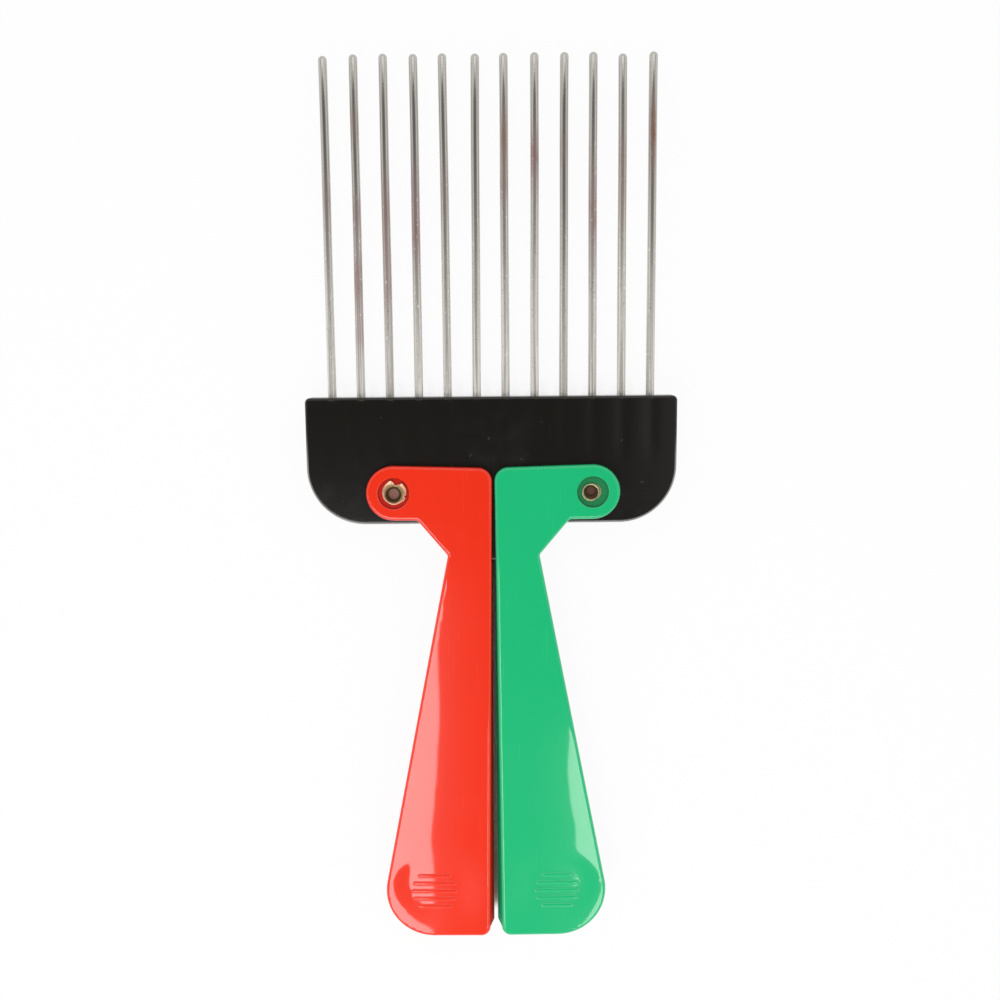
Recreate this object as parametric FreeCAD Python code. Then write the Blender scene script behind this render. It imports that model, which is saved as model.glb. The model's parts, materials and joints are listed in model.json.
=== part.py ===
"""Folding afro pick.

A black comb base holds a row of plated wire tines, moulded in at their roots. Two channel-shaped
handles turn on semi-tubular rivets through the base, so that each can swing out and round until the
tines lie inside its channel. A tongue under the base stops the handles when they are let down.

X runs across the row of tines, Y from the handle ends towards the tine tips, Z through the thickness.
The pick lies on its back, with the origin under the middle of its whole length and width.
All lengths are in millimetres and all angles in degrees.
"""

import FreeCAD, Part
import math
import os

from FreeCAD import Vector

# Thickness, from the back plate of a handle to its front plate
PLATE = 2.0
PLATE_PLAY = 0.2
BASE_THICKNESS = 5.6

# Tines: round wire with a domed tip and a locking groove near the root
TINE_COUNT = 12
TINE_DIAMETER = 2.0
TINE_PITCH = 6.85
TINE_REACH = 77.9
TINE_SEAT = 13.5
TINE_CHAMFER = 0.3
GROOVE_HEIGHT = 2.5
GROOVE_WIDTH = 1.0
GROOVE_DEPTH = 0.15
SOCKET_SLACK = 0.02

# Small unevenness of a used comb: lean of each tine, and how much deeper it sits, in tine diameters
TINE_LEANS = (0.0, 0.05, -0.05, 0.0, -0.15, 0.25, 0.0, 0.2, 0.15, -0.05, -0.1, 0.0)
TINE_SINK_SHARES = (0.25, 0.1, 0.05, 0.1, 0.05, 0.1, 0.05, 0.0, 0.0, 0.0, 0.2, 0.0)

# The same for the handles: how far both pivots lie to the right, and both handles lean to the left
PIVOT_SHIFT = 0.3
HANDLE_LEAN = 0.1

# Base, measured from the line through the two pivots
BASE_END_MARGIN = 5.2
BASE_ABOVE_PIVOT = 22.5
BASE_BELOW_PIVOT = 7.65
BASE_TOP_RADIUS = 1.2
BASE_LOWER_RADIUS = 13.6
BASE_EDGE_RADIUS = 0.7
TONGUE_WIDTH = 9.0
TONGUE_LENGTH = 8.9
TONGUE_RADIUS = 1.5

# Handles, measured from the pivot, let down and closed
ARM_RADIUS = 6.5
ARM_SLOPE = 1.0
ARM_UNDERSIDE = 5.6
WAIST_IN = 12.8
WAIST_DROP = 14.9
WAIST_RADIUS = 1.0
TAPER = 10.45
END_RADIUS = 12.0
INNER_END_RADIUS = 2.2
INNER_TOP_RADIUS = 3.3
SPINE = 2.0
RIDGE_TOP = 0.15
RIDGE_END = 1.0
RIDGE_TOE = 0.05
END_WALL = 2.0
POCKET_RADIUS = 1.0
EDGE_RADIUS = 0.8
HANDLE_GAP = 0.64
SPLAY = 0.6
FOLD_CLEARANCE = 0.95
TIP_CLEARANCE = 9.2
STOP_CLEARANCE = 0.15

# Thumb grip: low rounded ribs inside a circle, on the front of each handle's end
GRIP_RADIUS = 5.8
RIB_PITCH = 2.0
RIB_WIDTH = 1.2
RIB_HEIGHT = 0.3

# Rivets, sunk in round recesses in the plates
SHANK_DIAMETER = 4.0
PIVOT_CLEARANCE = 0.05
HEAD_LIP = 1.2
HEAD_RIM = 0.4
RECESS_ROOM = 0.55
RECESS_DEPTH = 0.9
RECESS_RIM = 0.2
RIVET_PLAY = 0.05
BELOW_FACE = 0.1
BORE_DIAMETER = 2.9
BORE_DEPTH = 2.4
BORE_CONE = 0.5
LEFT_ROLL_LIP = 0.9
RIGHT_ROLL_LIP = 0.35
ROLL_CROWN_SHARE = 0.9
NOTCH_WIDTH = 1.5
NOTCH_ROOT = 0.3

# How far cutting shapes run past what they cut, and how close counts as touching
OVERRUN = 1.0
SAME_PLACE = 1e-6

# Sizes and places that follow
CHANNEL = BASE_THICKNESS + 2 * PLATE_PLAY
HANDLE_THICKNESS = CHANNEL + 2 * PLATE
BASE_BACK = PLATE + PLATE_PLAY
MID_Z = HANDLE_THICKNESS / 2
BASE_HALF_WIDTH = (TINE_COUNT - 1) * TINE_PITCH / 2 + TINE_DIAMETER / 2 + BASE_END_MARGIN
PIVOT_X = (BASE_HALF_WIDTH + FOLD_CLEARANCE + SPINE + HANDLE_GAP / 2) / 2
INNER_EDGE = PIVOT_X - HANDLE_GAP / 2
TIP_ABOVE_PIVOT = BASE_ABOVE_PIVOT + TINE_REACH
HANDLE_DROP = TIP_ABOVE_PIVOT + TIP_CLEARANCE + END_WALL
SPINE_DROP = BASE_BELOW_PIVOT + TONGUE_LENGTH + STOP_CLEARANCE
END_CORNER_X = WAIST_IN - (HANDLE_DROP - WAIST_DROP) * math.tan(math.radians(TAPER))
LOWEST_X = INNER_EDGE - INNER_END_RADIUS
LOWEST_DROP = HANDLE_DROP - INNER_END_RADIUS
SPLAY_TURN = math.radians(SPLAY + HANDLE_LEAN)
SLOPE_TURN = math.radians(ARM_SLOPE)
ARM_TOP = ARM_RADIUS * (1 + math.sin(SLOPE_TURN)) / math.cos(SLOPE_TURN)
INNER_TOP = ARM_TOP - (INNER_EDGE + ARM_RADIUS) * math.tan(SLOPE_TURN)
HANDLE_REACH = (
    LOWEST_DROP * math.cos(SPLAY_TURN) + LOWEST_X * math.sin(SPLAY_TURN) + INNER_END_RADIUS
)
PIVOT_Y = (HANDLE_REACH - TIP_ABOVE_PIVOT) / 2
RIB_ROUND = (RIB_WIDTH**2 / 4 + RIB_HEIGHT**2) / (2 * RIB_HEIGHT)
SHANK_RADIUS = SHANK_DIAMETER / 2
HOLE_RADIUS = SHANK_RADIUS + PIVOT_CLEARANCE
HEAD_RADIUS = SHANK_RADIUS + HEAD_LIP
RECESS_RADIUS = HEAD_RADIUS + RECESS_ROOM
BORE_RADIUS = BORE_DIAMETER / 2
FRONT_RECESS_FLOOR = HANDLE_THICKNESS - RECESS_DEPTH

ORIGIN = Vector(0, 0, 0)
ALONG_X = Vector(1, 0, 0)
ALONG_Y = Vector(0, 1, 0)
ALONG_Z = Vector(0, 0, 1)
FULL_TURN = 360


def corner_stops(before, corner, after, radius):
    """Start, middle and end of the arc that rounds a corner, or the corner alone if it is sharp."""
    if radius == 0:
        return [corner]
    to_before = (before - corner).normalize()
    to_after = (after - corner).normalize()
    bisector = (to_before + to_after).normalize()
    half_angle = to_before.getAngle(to_after) / 2
    run = radius / math.tan(half_angle)
    centre = corner + bisector * (radius / math.sin(half_angle))
    return [corner + to_before * run, centre - bisector * radius, corner + to_after * run]


def rounded_outline(corners):
    """Closed wire in the plane z = 0 through corners given as (x, y, radius)."""
    points = [Vector(x, y, 0) for x, y, _ in corners]
    following = points[1:] + points[:1]
    stops = [
        corner_stops(points[index - 1], point, following[index], corners[index][2])
        for index, point in enumerate(points)
    ]
    edges = []
    for here, there in zip(stops, stops[1:] + stops[:1]):
        if len(here) > 1:
            edges.append(Part.Arc(*here).toShape())
        if here[-1].distanceToPoint(there[0]) > SAME_PLACE:
            edges.append(Part.makeLine(here[-1], there[0]))
    return Part.Wire(edges)


def prism(corners, low, high):
    """Solid with a rounded outline, from one height to another."""
    face = Part.Face(rounded_outline(corners))
    face.translate(ALONG_Z * low)
    return face.extrude(ALONG_Z * (high - low))


def lies_at(edge, height):
    """Whether an edge lies flat at a height."""
    box = edge.BoundBox
    return abs(box.ZMin - height) < SAME_PLACE and abs(box.ZMax - height) < SAME_PLACE


def softened(solid, radius):
    """A flat solid with the edges of its front and back faces rounded."""
    box = solid.BoundBox
    rims = [edge for edge in solid.Edges if lies_at(edge, box.ZMin) or lies_at(edge, box.ZMax)]
    return solid.makeFillet(radius, rims)


def bore(radius, low, high):
    """Round cutting shape on the pivot, from one height to another."""
    return Part.makeCylinder(radius, high - low, ALONG_Z * low)


def flared_bore(radius, flare, floor, face):
    """Round recess from its floor to the plate's face, with a bevelled rim."""
    outward = math.copysign(1, face - floor)
    rim = Part.makeCone(radius, radius + flare, flare, ALONG_Z * (face - outward * flare), ALONG_Z * outward)
    low, high = sorted((floor, face + outward * OVERRUN))
    return bore(radius, low, high).fuse(rim)


def handle_corners():
    """Outline of a handle about its pivot, with its inner edge towards +X."""
    return [
        (-ARM_RADIUS, ARM_TOP, ARM_RADIUS),
        (-ARM_RADIUS, -ARM_RADIUS, ARM_RADIUS),
        (ARM_UNDERSIDE, -ARM_RADIUS, WAIST_RADIUS),
        (WAIST_IN, -WAIST_DROP, WAIST_RADIUS),
        (END_CORNER_X, -HANDLE_DROP, END_RADIUS),
        (INNER_EDGE, -HANDLE_DROP, INNER_END_RADIUS),
        (INNER_EDGE, INNER_TOP, INNER_TOP_RADIUS),
    ]


def pocket_corners():
    """Outline of the channel between the plates, which leaves the spine and the end wall."""
    outer = min(END_CORNER_X, -ARM_RADIUS) - OVERRUN
    floor = END_WALL - HANDLE_DROP
    top = ARM_RADIUS + OVERRUN
    return [
        (outer, floor, 0),
        (INNER_EDGE - SPINE, floor, POCKET_RADIUS),
        (INNER_EDGE - SPINE, -SPINE_DROP, 0),
        (INNER_EDGE + OVERRUN, -SPINE_DROP, 0),
        (INNER_EDGE + OVERRUN, top, 0),
        (outer, top, 0),
    ]


def ridge_section(y, foot, rise):
    """Section across the spine's ridge, from inside the spine out to the parting line."""
    root = INNER_EDGE - SPINE / 2
    front = HANDLE_THICKNESS - EDGE_RADIUS
    corners = [
        Vector(root, y, EDGE_RADIUS),
        Vector(foot, y, EDGE_RADIUS),
        Vector(foot + rise, y, MID_Z),
        Vector(foot, y, front),
        Vector(root, y, front),
    ]
    return Part.makePolygon(corners + corners[:1])


def spine_ridge():
    """Drafted wall of the spine, which leans out to a parting line and is bevelled off at the handle's end."""
    toe = INNER_END_RADIUS * math.sqrt(1 / 2)
    sections = [
        ridge_section(-SPINE_DROP, INNER_EDGE, RIDGE_TOP),
        ridge_section(-LOWEST_DROP, INNER_EDGE, RIDGE_END),
        ridge_section(-LOWEST_DROP - toe, LOWEST_X + toe, RIDGE_TOE),
    ]
    return Part.makeLoft(sections, True, True)


def grip_centre():
    """Middle of the thumb grip, which is the centre of the end's large corner arc."""
    half_angle = math.radians(90 - TAPER) / 2
    return Vector(END_CORNER_X + END_RADIUS / math.tan(half_angle), END_RADIUS - HANDLE_DROP, 0)


def rib(left, right):
    """Round bar with ball ends about an axis along X, of which only a low rib shows above the plate."""
    outward = ALONG_X * RIB_ROUND
    upward = ALONG_Z * RIB_ROUND
    slant = math.sqrt(1 / 2)
    left_bend = left + (upward - outward) * slant
    right_bend = right + (upward + outward) * slant
    edges = [
        Part.Arc(left - outward, left_bend, left + upward).toShape(),
        Part.makeLine(left + upward, right + upward),
        Part.Arc(right + upward, right_bend, right + outward).toShape(),
        Part.makeLine(right + outward, left - outward),
    ]
    return Part.Face(Part.Wire(edges)).revolve(left, ALONG_X, FULL_TURN)


def grip_ribs():
    """Low parallel ribs that fill a circle on the front plate."""
    middle = grip_centre() + ALONG_Z * (HANDLE_THICKNESS + RIB_HEIGHT - RIB_ROUND)
    reach = int((GRIP_RADIUS - RIB_WIDTH) // RIB_PITCH)
    ribs = []
    for step in range(-reach, reach + 1):
        offset = step * RIB_PITCH
        run = math.sqrt(GRIP_RADIUS**2 - offset**2) - RIB_WIDTH / 2
        centre = middle + ALONG_Y * offset
        ribs.append(rib(centre - ALONG_X * run, centre + ALONG_X * run))
    return ribs


def handle():
    """A handle about its pivot, let down and closed, with its inner edge towards +X."""
    body = softened(prism(handle_corners(), 0, HANDLE_THICKNESS), EDGE_RADIUS)
    body = body.cut(prism(pocket_corners(), PLATE, PLATE + CHANNEL))
    body = body.fuse(spine_ridge())
    body = body.cut(bore(HOLE_RADIUS, -OVERRUN, HANDLE_THICKNESS + OVERRUN))
    body = body.cut(flared_bore(RECESS_RADIUS, RECESS_RIM, RECESS_DEPTH, 0))
    body = body.cut(flared_bore(RECESS_RADIUS, RECESS_RIM, FRONT_RECESS_FLOOR, HANDLE_THICKNESS))
    return body.fuse(grip_ribs()).removeSplitter()


def rivet(roll_lip):
    """A rivet about its axis, with its domed head at the back and its rolled tail at the front."""
    head_under = RECESS_DEPTH - RIVET_PLAY
    head_side = head_under - HEAD_RIM
    sagitta = head_side - BELOW_FACE
    dome_radius = (HEAD_RADIUS**2 + sagitta**2) / (2 * sagitta)
    dome_middle = BELOW_FACE + dome_radius - math.sqrt(dome_radius**2 - (HEAD_RADIUS / 2) ** 2)
    roll_under = FRONT_RECESS_FLOOR + RIVET_PLAY
    roll_top = HANDLE_THICKNESS - BELOW_FACE
    roll_radius = SHANK_RADIUS + roll_lip
    crown_radius = (BORE_RADIUS + roll_radius) / 2
    crown_low = roll_top - ROLL_CROWN_SHARE * (roll_radius - BORE_RADIUS) / 2
    bore_floor = roll_top - BORE_DEPTH

    head_centre = Vector(0, 0, BELOW_FACE)
    head_rim = Vector(HEAD_RADIUS, 0, head_side)
    roll_rim = Vector(roll_radius, 0, crown_low)
    roll_mouth = Vector(BORE_RADIUS, 0, crown_low)
    dome = Part.Arc(head_centre, Vector(HEAD_RADIUS / 2, 0, dome_middle), head_rim)
    crown = Part.Arc(roll_rim, Vector(crown_radius, 0, roll_top), roll_mouth)
    side = [
        head_rim,
        Vector(HEAD_RADIUS, 0, head_under),
        Vector(SHANK_RADIUS, 0, head_under),
        Vector(SHANK_RADIUS, 0, roll_under),
        Vector(roll_radius, 0, roll_under),
        roll_rim,
    ]
    core = [
        roll_mouth,
        Vector(BORE_RADIUS, 0, bore_floor),
        Vector(0, 0, bore_floor - BORE_CONE),
        head_centre,
    ]
    edges = [dome.toShape(), *Part.makePolygon(side).Edges, crown.toShape(), *Part.makePolygon(core).Edges]
    return Part.Face(Part.Wire(edges)).revolve(ORIGIN, ALONG_Z, FULL_TURN)


def roll_notch():
    """Tear through a rolled tail, narrow at the bore and wide at the rim, on the side of the tips."""
    rim = SHANK_RADIUS + LEFT_ROLL_LIP + OVERRUN
    corners = [
        (-NOTCH_ROOT / 2, 0, 0),
        (NOTCH_ROOT / 2, 0, 0),
        (NOTCH_WIDTH / 2, rim, 0),
        (-NOTCH_WIDTH / 2, rim, 0),
    ]
    return prism(corners, FRONT_RECESS_FLOOR + RIVET_PLAY, HANDLE_THICKNESS + OVERRUN)


def tine_profile(slack, top, domed):
    """Half section of a tine, or of its socket when slack is added, with its root end at y = 0."""
    radius = TINE_DIAMETER / 2 + slack
    neck = radius - GROOVE_DEPTH
    groove_low = GROOVE_HEIGHT + slack
    groove_high = GROOVE_HEIGHT + GROOVE_WIDTH - slack
    side = [
        Vector(0, -slack, 0),
        Vector(radius - TINE_CHAMFER, -slack, 0),
        Vector(radius, TINE_CHAMFER - slack, 0),
        Vector(radius, groove_low, 0),
        Vector(neck, groove_low, 0),
        Vector(neck, groove_high, 0),
        Vector(radius, groove_high, 0),
    ]
    crest = Vector(0, top, 0)
    if domed:
        shoulder = Vector(radius, top - radius, 0)
        bulge = radius * math.sqrt(0.5)
        dome = [Part.Arc(shoulder, Vector(bulge, top - radius + bulge, 0), crest).toShape()]
    else:
        shoulder = Vector(radius, top, 0)
        dome = [Part.makeLine(shoulder, crest)]
    edges = [*Part.makePolygon([*side, shoulder]).Edges, *dome, Part.makeLine(crest, side[0])]
    return Part.Face(Part.Wire(edges))


def stand_tine(solid, index):
    """Put a tine, or its socket, at its place in the row, with its own depth and lean."""
    base_top = PIVOT_Y + BASE_ABOVE_PIVOT
    x = (index - (TINE_COUNT - 1) / 2) * TINE_PITCH
    sink = TINE_SINK_SHARES[index % len(TINE_SINK_SHARES)] * TINE_DIAMETER
    lean = TINE_LEANS[index % len(TINE_LEANS)]
    solid.translate(Vector(x, base_top - TINE_SEAT - sink, MID_Z))
    solid.rotate(Vector(x, base_top, MID_Z), ALONG_Z, -lean)
    return solid


def tine(index):
    """One wire tine in its place."""
    profile = tine_profile(0, TINE_SEAT + TINE_REACH, True)
    return stand_tine(profile.revolve(ORIGIN, ALONG_Y, FULL_TURN), index)


def socket(index):
    """The space in the base that one tine's root fills."""
    profile = tine_profile(SOCKET_SLACK, TINE_SEAT + TINE_DIAMETER, False)
    return stand_tine(profile.revolve(ORIGIN, ALONG_Y, FULL_TURN), index)


def base_corners():
    """Outline of the base about the middle of the pivot line, with the tongue below."""
    half_tongue = TONGUE_WIDTH / 2
    tongue_end = -BASE_BELOW_PIVOT - TONGUE_LENGTH
    return [
        (-BASE_HALF_WIDTH, BASE_ABOVE_PIVOT, BASE_TOP_RADIUS),
        (-BASE_HALF_WIDTH, -BASE_BELOW_PIVOT, BASE_LOWER_RADIUS),
        (-half_tongue, -BASE_BELOW_PIVOT, TONGUE_RADIUS),
        (-half_tongue, tongue_end, TONGUE_RADIUS),
        (half_tongue, tongue_end, TONGUE_RADIUS),
        (half_tongue, -BASE_BELOW_PIVOT, TONGUE_RADIUS),
        (BASE_HALF_WIDTH, -BASE_BELOW_PIVOT, BASE_LOWER_RADIUS),
        (BASE_HALF_WIDTH, BASE_ABOVE_PIVOT, BASE_TOP_RADIUS),
    ]


def at_pivot(solid, side):
    """Move a piece that was made about its pivot to the left (-1) or right (1) pivot."""
    solid.translate(Vector(PIVOT_SHIFT + side * PIVOT_X, PIVOT_Y, 0))
    return solid


def base():
    """The base with its pivot holes and the sockets of the tines."""
    body = prism(base_corners(), BASE_BACK, BASE_BACK + BASE_THICKNESS)
    body = softened(body, BASE_EDGE_RADIUS)
    body.translate(ALONG_Y * PIVOT_Y)
    for side in (-1, 1):
        body = body.cut(at_pivot(bore(HOLE_RADIUS, 0, HANDLE_THICKNESS), side))
    return body.cut([socket(index) for index in range(TINE_COUNT)])


def placed_handle(side):
    """The left (-1) or right (1) handle, let down and a little splayed."""
    body = handle()
    if side > 0:
        body = body.mirror(ORIGIN, ALONG_X)
    body.rotate(ORIGIN, ALONG_Z, side * SPLAY - HANDLE_LEAN)
    return at_pivot(body, side)


def all_pieces():
    """Every piece of the pick by name."""
    pieces = {
        "comb_base": base(),
        "left_handle": placed_handle(-1),
        "right_handle": placed_handle(1),
        "left_rivet": at_pivot(rivet(LEFT_ROLL_LIP).cut(roll_notch()), -1),
        "right_rivet": at_pivot(rivet(RIGHT_ROLL_LIP), 1),
    }
    for index in range(TINE_COUNT):
        pieces[f"tine_{index + 1:02d}"] = tine(index)
    return pieces


os.makedirs("parts", exist_ok=True)
for name, shape in all_pieces().items():
    shape.exportStep(f"parts/{name}.step")
    box = shape.BoundBox
    print(f"{name}: valid {shape.isValid()}, solids {len(shape.Solids)}, volume {shape.Volume:.2f},",
          f"x {box.XMin:.2f} to {box.XMax:.2f}, y {box.YMin:.2f} to {box.YMax:.2f},",
          f"z {box.ZMin:.2f} to {box.ZMax:.2f}")
print(f"pivots at x {PIVOT_SHIFT:.4f} plus {PIVOT_X:.4f} either side, y {PIVOT_Y:.4f}")
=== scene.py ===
"""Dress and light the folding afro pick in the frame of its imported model.

Lengths are in metres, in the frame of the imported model: X runs across the tines, Y from the handle
ends to the tine tips, Z up through the thickness of the pick, which lies on its back.
"""

import json
import logging
import math
from dataclasses import dataclass
from enum import Enum
from functools import reduce
from typing import Any

import bmesh
import bpy
from mathutils import Matrix, Vector


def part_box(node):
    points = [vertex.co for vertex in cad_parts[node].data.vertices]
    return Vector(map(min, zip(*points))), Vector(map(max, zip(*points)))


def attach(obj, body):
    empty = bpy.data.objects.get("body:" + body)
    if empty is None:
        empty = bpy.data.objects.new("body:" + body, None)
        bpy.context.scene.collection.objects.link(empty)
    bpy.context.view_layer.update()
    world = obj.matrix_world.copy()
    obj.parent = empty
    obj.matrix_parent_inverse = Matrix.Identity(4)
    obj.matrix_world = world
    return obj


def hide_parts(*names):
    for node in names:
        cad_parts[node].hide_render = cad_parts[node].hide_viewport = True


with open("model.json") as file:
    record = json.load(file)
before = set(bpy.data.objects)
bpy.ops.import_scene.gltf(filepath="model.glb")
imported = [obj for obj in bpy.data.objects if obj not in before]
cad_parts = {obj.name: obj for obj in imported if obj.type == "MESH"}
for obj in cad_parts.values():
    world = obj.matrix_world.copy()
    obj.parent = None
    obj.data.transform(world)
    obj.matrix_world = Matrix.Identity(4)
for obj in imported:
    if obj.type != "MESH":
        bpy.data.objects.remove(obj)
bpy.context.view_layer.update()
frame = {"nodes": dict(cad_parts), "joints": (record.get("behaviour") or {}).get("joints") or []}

LOG = logging.getLogger("afro_pick")
MM = 0.001
FULL_TURN = 2 * math.pi
FULL_DEGREES = 360
MATRIX_SIZE = 4
WELD_DISTANCE = 1e-7
FLAT_ANGLE = math.radians(0.2)
SHARP_ANGLE = math.radians(38)

Colour = tuple[float, float, float]
Triple = tuple[float, float, float]
Pair = tuple[float, float]
Stops = tuple[Pair, ...]


class Side(Enum):
    """The two halves of the pick, seen from the front with the tines up."""

    LEFT = -1
    RIGHT = 1


@dataclass(frozen=True)
class Spot:
    """A discoloured stretch of a tine, placed by its share of the tine's length."""

    tine: int
    centre: float
    spread: float
    strength: float


@dataclass(frozen=True)
class RivetPoint:
    """A point of a rivet's half section, with how deep it lies in the bore, which sets its painted shade,
    and how much painted light its floor takes.
    """

    radius: float
    height: float
    shift: Pair = (0.0, 0.0)
    depth: float = 0.0
    floor: float = 0.0


@dataclass(frozen=True)
class Mottle:
    """Noise over a surface, by its cells per metre, and the band of it that rises from 0 to 1."""

    cells: Triple
    detail: float
    band: Pair | None = None
    roughness: float = 0.5


@dataclass(frozen=True)
class Hairlines:
    """Fine scratches in one direction of the pick's plane, with their number and breaks per metre."""

    across: float
    along: float
    turn: float
    keep: float
    edge: float = 0.06
    detail: float = 1.0
    roughness: float = 0.5


# Sums that the finishes and the pieces share

def even(cells: float) -> Triple:
    """The same number of cells along every axis."""
    return (cells, cells, cells)


def smooth_step(value: float, low: float, high: float) -> float:
    """A smooth step from 0 at low to 1 at high."""
    share = min(max((value - low) / (high - low), 0.0), 1.0)
    return share * share * (3 - 2 * share)


def between(low: float, high: float, share: float) -> float:
    """The value at a share of the way from low to high."""
    return low + (high - low) * share


def blended(stops: Stops, place: float) -> float:
    """Read a value between stops, blended smoothly.

    Args:
        stops: places in rising order and their values
        place: where to read

    Returns:
        The value.
    """
    if place <= stops[0][0]:
        return stops[0][1]
    for (start, first), (end, last) in zip(stops, stops[1:]):
        if place <= end:
            return between(first, last, smooth_step(place, start, end))
    return stops[-1][1]


# Shader graphs

class Value:
    """A shader socket that does arithmetic by adding Math nodes."""

    def __init__(self, graph: "Graph", socket: bpy.types.NodeSocket) -> None:
        """Keep the socket and the graph that it belongs to."""
        self.graph = graph
        self.socket = socket

    def math(self, operation: str, first: Any, second: Any) -> "Value":
        """Add one Math node.

        Args:
            operation: name of the Math node's operation
            first: its first operand
            second: its second operand

        Returns:
            The node's result.
        """
        operands = {"Value": first, "Value_001": second}
        node = self.graph.add("ShaderNodeMath", {"operation": operation}, operands)
        return Value(self.graph, node.outputs[0])

    def __add__(self, other: Any) -> "Value":
        """This value plus another."""
        return self.math("ADD", self, other)

    def __radd__(self, other: Any) -> "Value":
        """Another value plus this one."""
        return self.math("ADD", other, self)

    def __sub__(self, other: Any) -> "Value":
        """This value less another."""
        return self.math("SUBTRACT", self, other)

    def __rsub__(self, other: Any) -> "Value":
        """Another value less this one."""
        return self.math("SUBTRACT", other, self)

    def __mul__(self, other: Any) -> "Value":
        """This value times another."""
        return self.math("MULTIPLY", self, other)

    def __rmul__(self, other: Any) -> "Value":
        """Another value times this one."""
        return self.math("MULTIPLY", other, self)

    def most(self, other: Any) -> "Value":
        """The larger of this value and another."""
        return self.math("MAXIMUM", self, other)

    def step(self, low: float, high: float) -> "Value":
        """A smooth step from 0 to 1.

        Args:
            low: where the step starts
            high: where the step ends

        Returns:
            The stepped value.
        """
        node = self.graph.add(
            "ShaderNodeMapRange",
            {"interpolation_type": "SMOOTHSTEP"},
            {"Value": self, "From Min": low, "From Max": high},
        )
        return Value(self.graph, node.outputs[0])


class Graph:
    """One node tree, with short ways to add its nodes."""

    def __init__(self, tree: bpy.types.NodeTree) -> None:
        """Start from an empty tree."""
        self.tree = tree
        tree.nodes.clear()

    @staticmethod
    def socket(sockets: Any, name: str) -> bpy.types.NodeSocket:
        """Find a socket by its identifier, or else by its name.

        Args:
            sockets: a node's inputs or outputs
            name: identifier or name to look for

        Returns:
            The socket.
        """
        found = [one for one in sockets if one.identifier == name]
        return found[0] if found else sockets[name]

    def add(self, kind: str, settings: dict[str, Any] | None = None,
            sockets: dict[str, Any] | None = None) -> bpy.types.Node:
        """Add a node.

        Args:
            kind: the node's type
            settings: its properties, set first
            sockets: values or links of its inputs, by name or identifier

        Returns:
            The node.
        """
        node = self.tree.nodes.new(kind)
        for key, setting in (settings or {}).items():
            setattr(node, key, setting)
        for key, content in (sockets or {}).items():
            target = self.socket(node.inputs, key)
            if isinstance(content, Value):
                self.tree.links.new(content.socket, target)
            else:
                target.default_value = content
        return node

    def value(self, kind: str, output: str, settings: dict[str, Any] | None = None,
              sockets: dict[str, Any] | None = None) -> Value:
        """Add a node and take one of its outputs.

        Args:
            kind: the node's type
            output: name of the output
            settings: the node's properties
            sockets: values or links of its inputs

        Returns:
            The output as a value.
        """
        return Value(self, self.socket(self.add(kind, settings, sockets).outputs, output))

    def mix(self, factor: Any, low: Any, high: Any) -> Value:
        """Mix two colours.

        Args:
            factor: share of the second colour
            low: colour at factor 0
            high: colour at factor 1

        Returns:
            The mixed colour.
        """
        colours = [one if isinstance(one, Value) else (*one, 1.0) for one in (low, high)]
        return self.value(
            "ShaderNodeMix", "Result_Color", {"data_type": "RGBA"},
            {"Factor_Float": factor, "A_Color": colours[0], "B_Color": colours[1]},
        )

    def place(self, stretch: Triple, turn: Triple = (0.0, 0.0, 0.0)) -> Value:
        """Coordinates in the pick's frame, turned and then stretched.

        Args:
            stretch: cells per metre along each axis
            turn: rotation about each axis, in radians

        Returns:
            The coordinates.
        """
        here = self.value("ShaderNodeTexCoord", "Object")
        return self.value(
            "ShaderNodeMapping", "Vector", {},
            {"Vector": here, "Rotation": turn, "Scale": stretch},
        )

    def noise(self, where: Value, detail: float, roughness: float) -> Value:
        """Smooth noise between about 0.2 and 0.8.

        Args:
            where: coordinates, one cell per unit
            detail: number of finer layers
            roughness: strength of the finer layers

        Returns:
            The noise.
        """
        return self.value(
            "ShaderNodeTexNoise", "Fac", {},
            {"Vector": where, "Scale": 1.0, "Detail": detail, "Roughness": roughness},
        )

    def mottle(self, pattern: Mottle) -> Value:
        """Noise over the surface, stepped where the pattern has a band."""
        level = self.noise(self.place(pattern.cells), pattern.detail, pattern.roughness)
        return level.step(*pattern.band) if pattern.band else level

    def scratches(self, families: tuple[Hairlines, ...]) -> Value:
        """Fine hairlines of several directions.

        Args:
            families: the hairlines of each direction

        Returns:
            1 on a hairline and 0 elsewhere.
        """
        shown = []
        for lines in families:
            where = self.place((lines.across, lines.along, lines.along), (0.0, 0.0, lines.turn))
            level = self.noise(where, lines.detail, lines.roughness)
            shown.append(level.step(lines.keep, lines.keep + lines.edge))
        return reduce(Value.most, shown)

    def attribute(self, name: str) -> Value:
        """A value that the mesh carries at its points."""
        return self.value("ShaderNodeAttribute", "Fac", {"attribute_name": name})

    def bump(self, height: Value, distance: float, strength: float) -> Value:
        """Normals bent by a height.

        Args:
            height: height in units of the distance
            distance: height of one unit, in metres
            strength: share of the effect that is kept

        Returns:
            The bent normal.
        """
        return self.value(
            "ShaderNodeBump", "Normal", {},
            {"Height": height, "Distance": distance, "Strength": strength},
        )

    def surface(self, sockets: dict[str, Any]) -> None:
        """End the tree in a Principled surface with these sockets."""
        shader = self.value("ShaderNodeBsdfPrincipled", "BSDF", {}, sockets)
        self.add("ShaderNodeOutputMaterial", {}, {"Surface": shader})


def new_graph(name: str) -> tuple[bpy.types.Material, Graph]:
    """Make an empty material.

    Args:
        name: the material's name

    Returns:
        The material and its graph.
    """
    material = bpy.data.materials.new(name)
    material.use_nodes = True
    return material, Graph(material.node_tree)


# Finishes

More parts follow.
